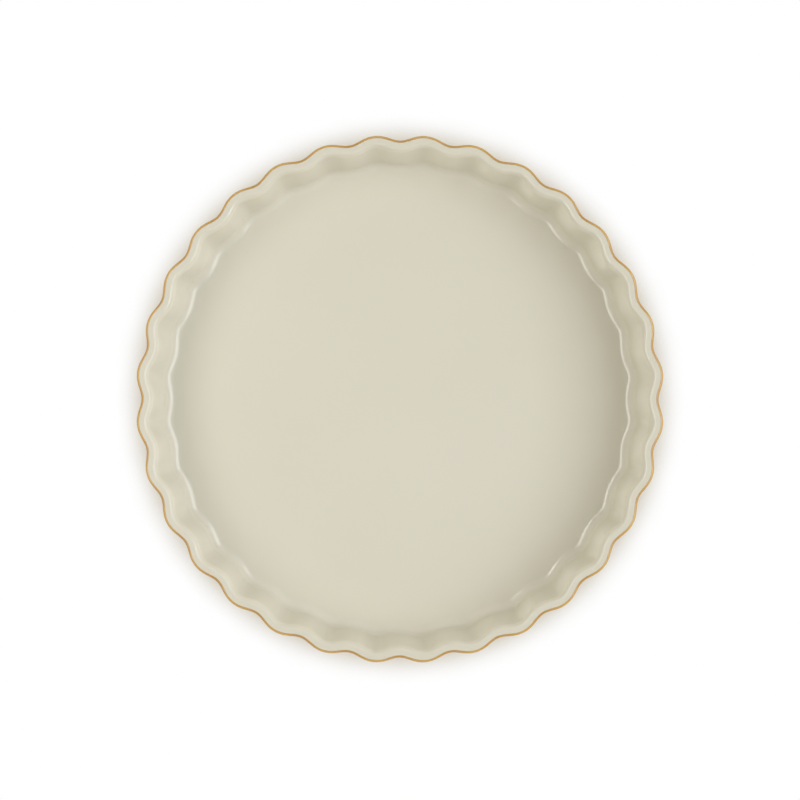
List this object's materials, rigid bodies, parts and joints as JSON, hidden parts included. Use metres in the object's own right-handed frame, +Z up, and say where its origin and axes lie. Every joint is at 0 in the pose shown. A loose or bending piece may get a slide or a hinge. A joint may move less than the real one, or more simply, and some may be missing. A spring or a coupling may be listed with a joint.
{
  "type": "tart dish",
  "caption": "Round fluted stoneware tart dish with a leaning scalloped wall, a flat floor, a cream glaze inside, an amber glaze outside and a bare foot ring.",
  "frame": {"origin": "middle of the foot ring's resting face, on the dish's axis", "axes": "+Z up along the axis of the dish, out of its open side; +X through the middle of a flute hollow"},
  "size_m": [0.2786, 0.2786, 0.042],
  "materials": {
    "bare_stoneware": "unglazed buff stoneware, matt and faintly gritty",
    "cream_glaze": "opaque cream glaze, glossy",
    "amber_glaze": "amber glaze, glossy, darker where it pools in the flutes"
  },
  "bodies": {
    "root": {"stoneware_body": "bare_stoneware", "interior_glaze": "cream_glaze", "exterior_glaze": "amber_glaze", "underside_glaze": "amber_glaze"}
  },
  "joints": []
}
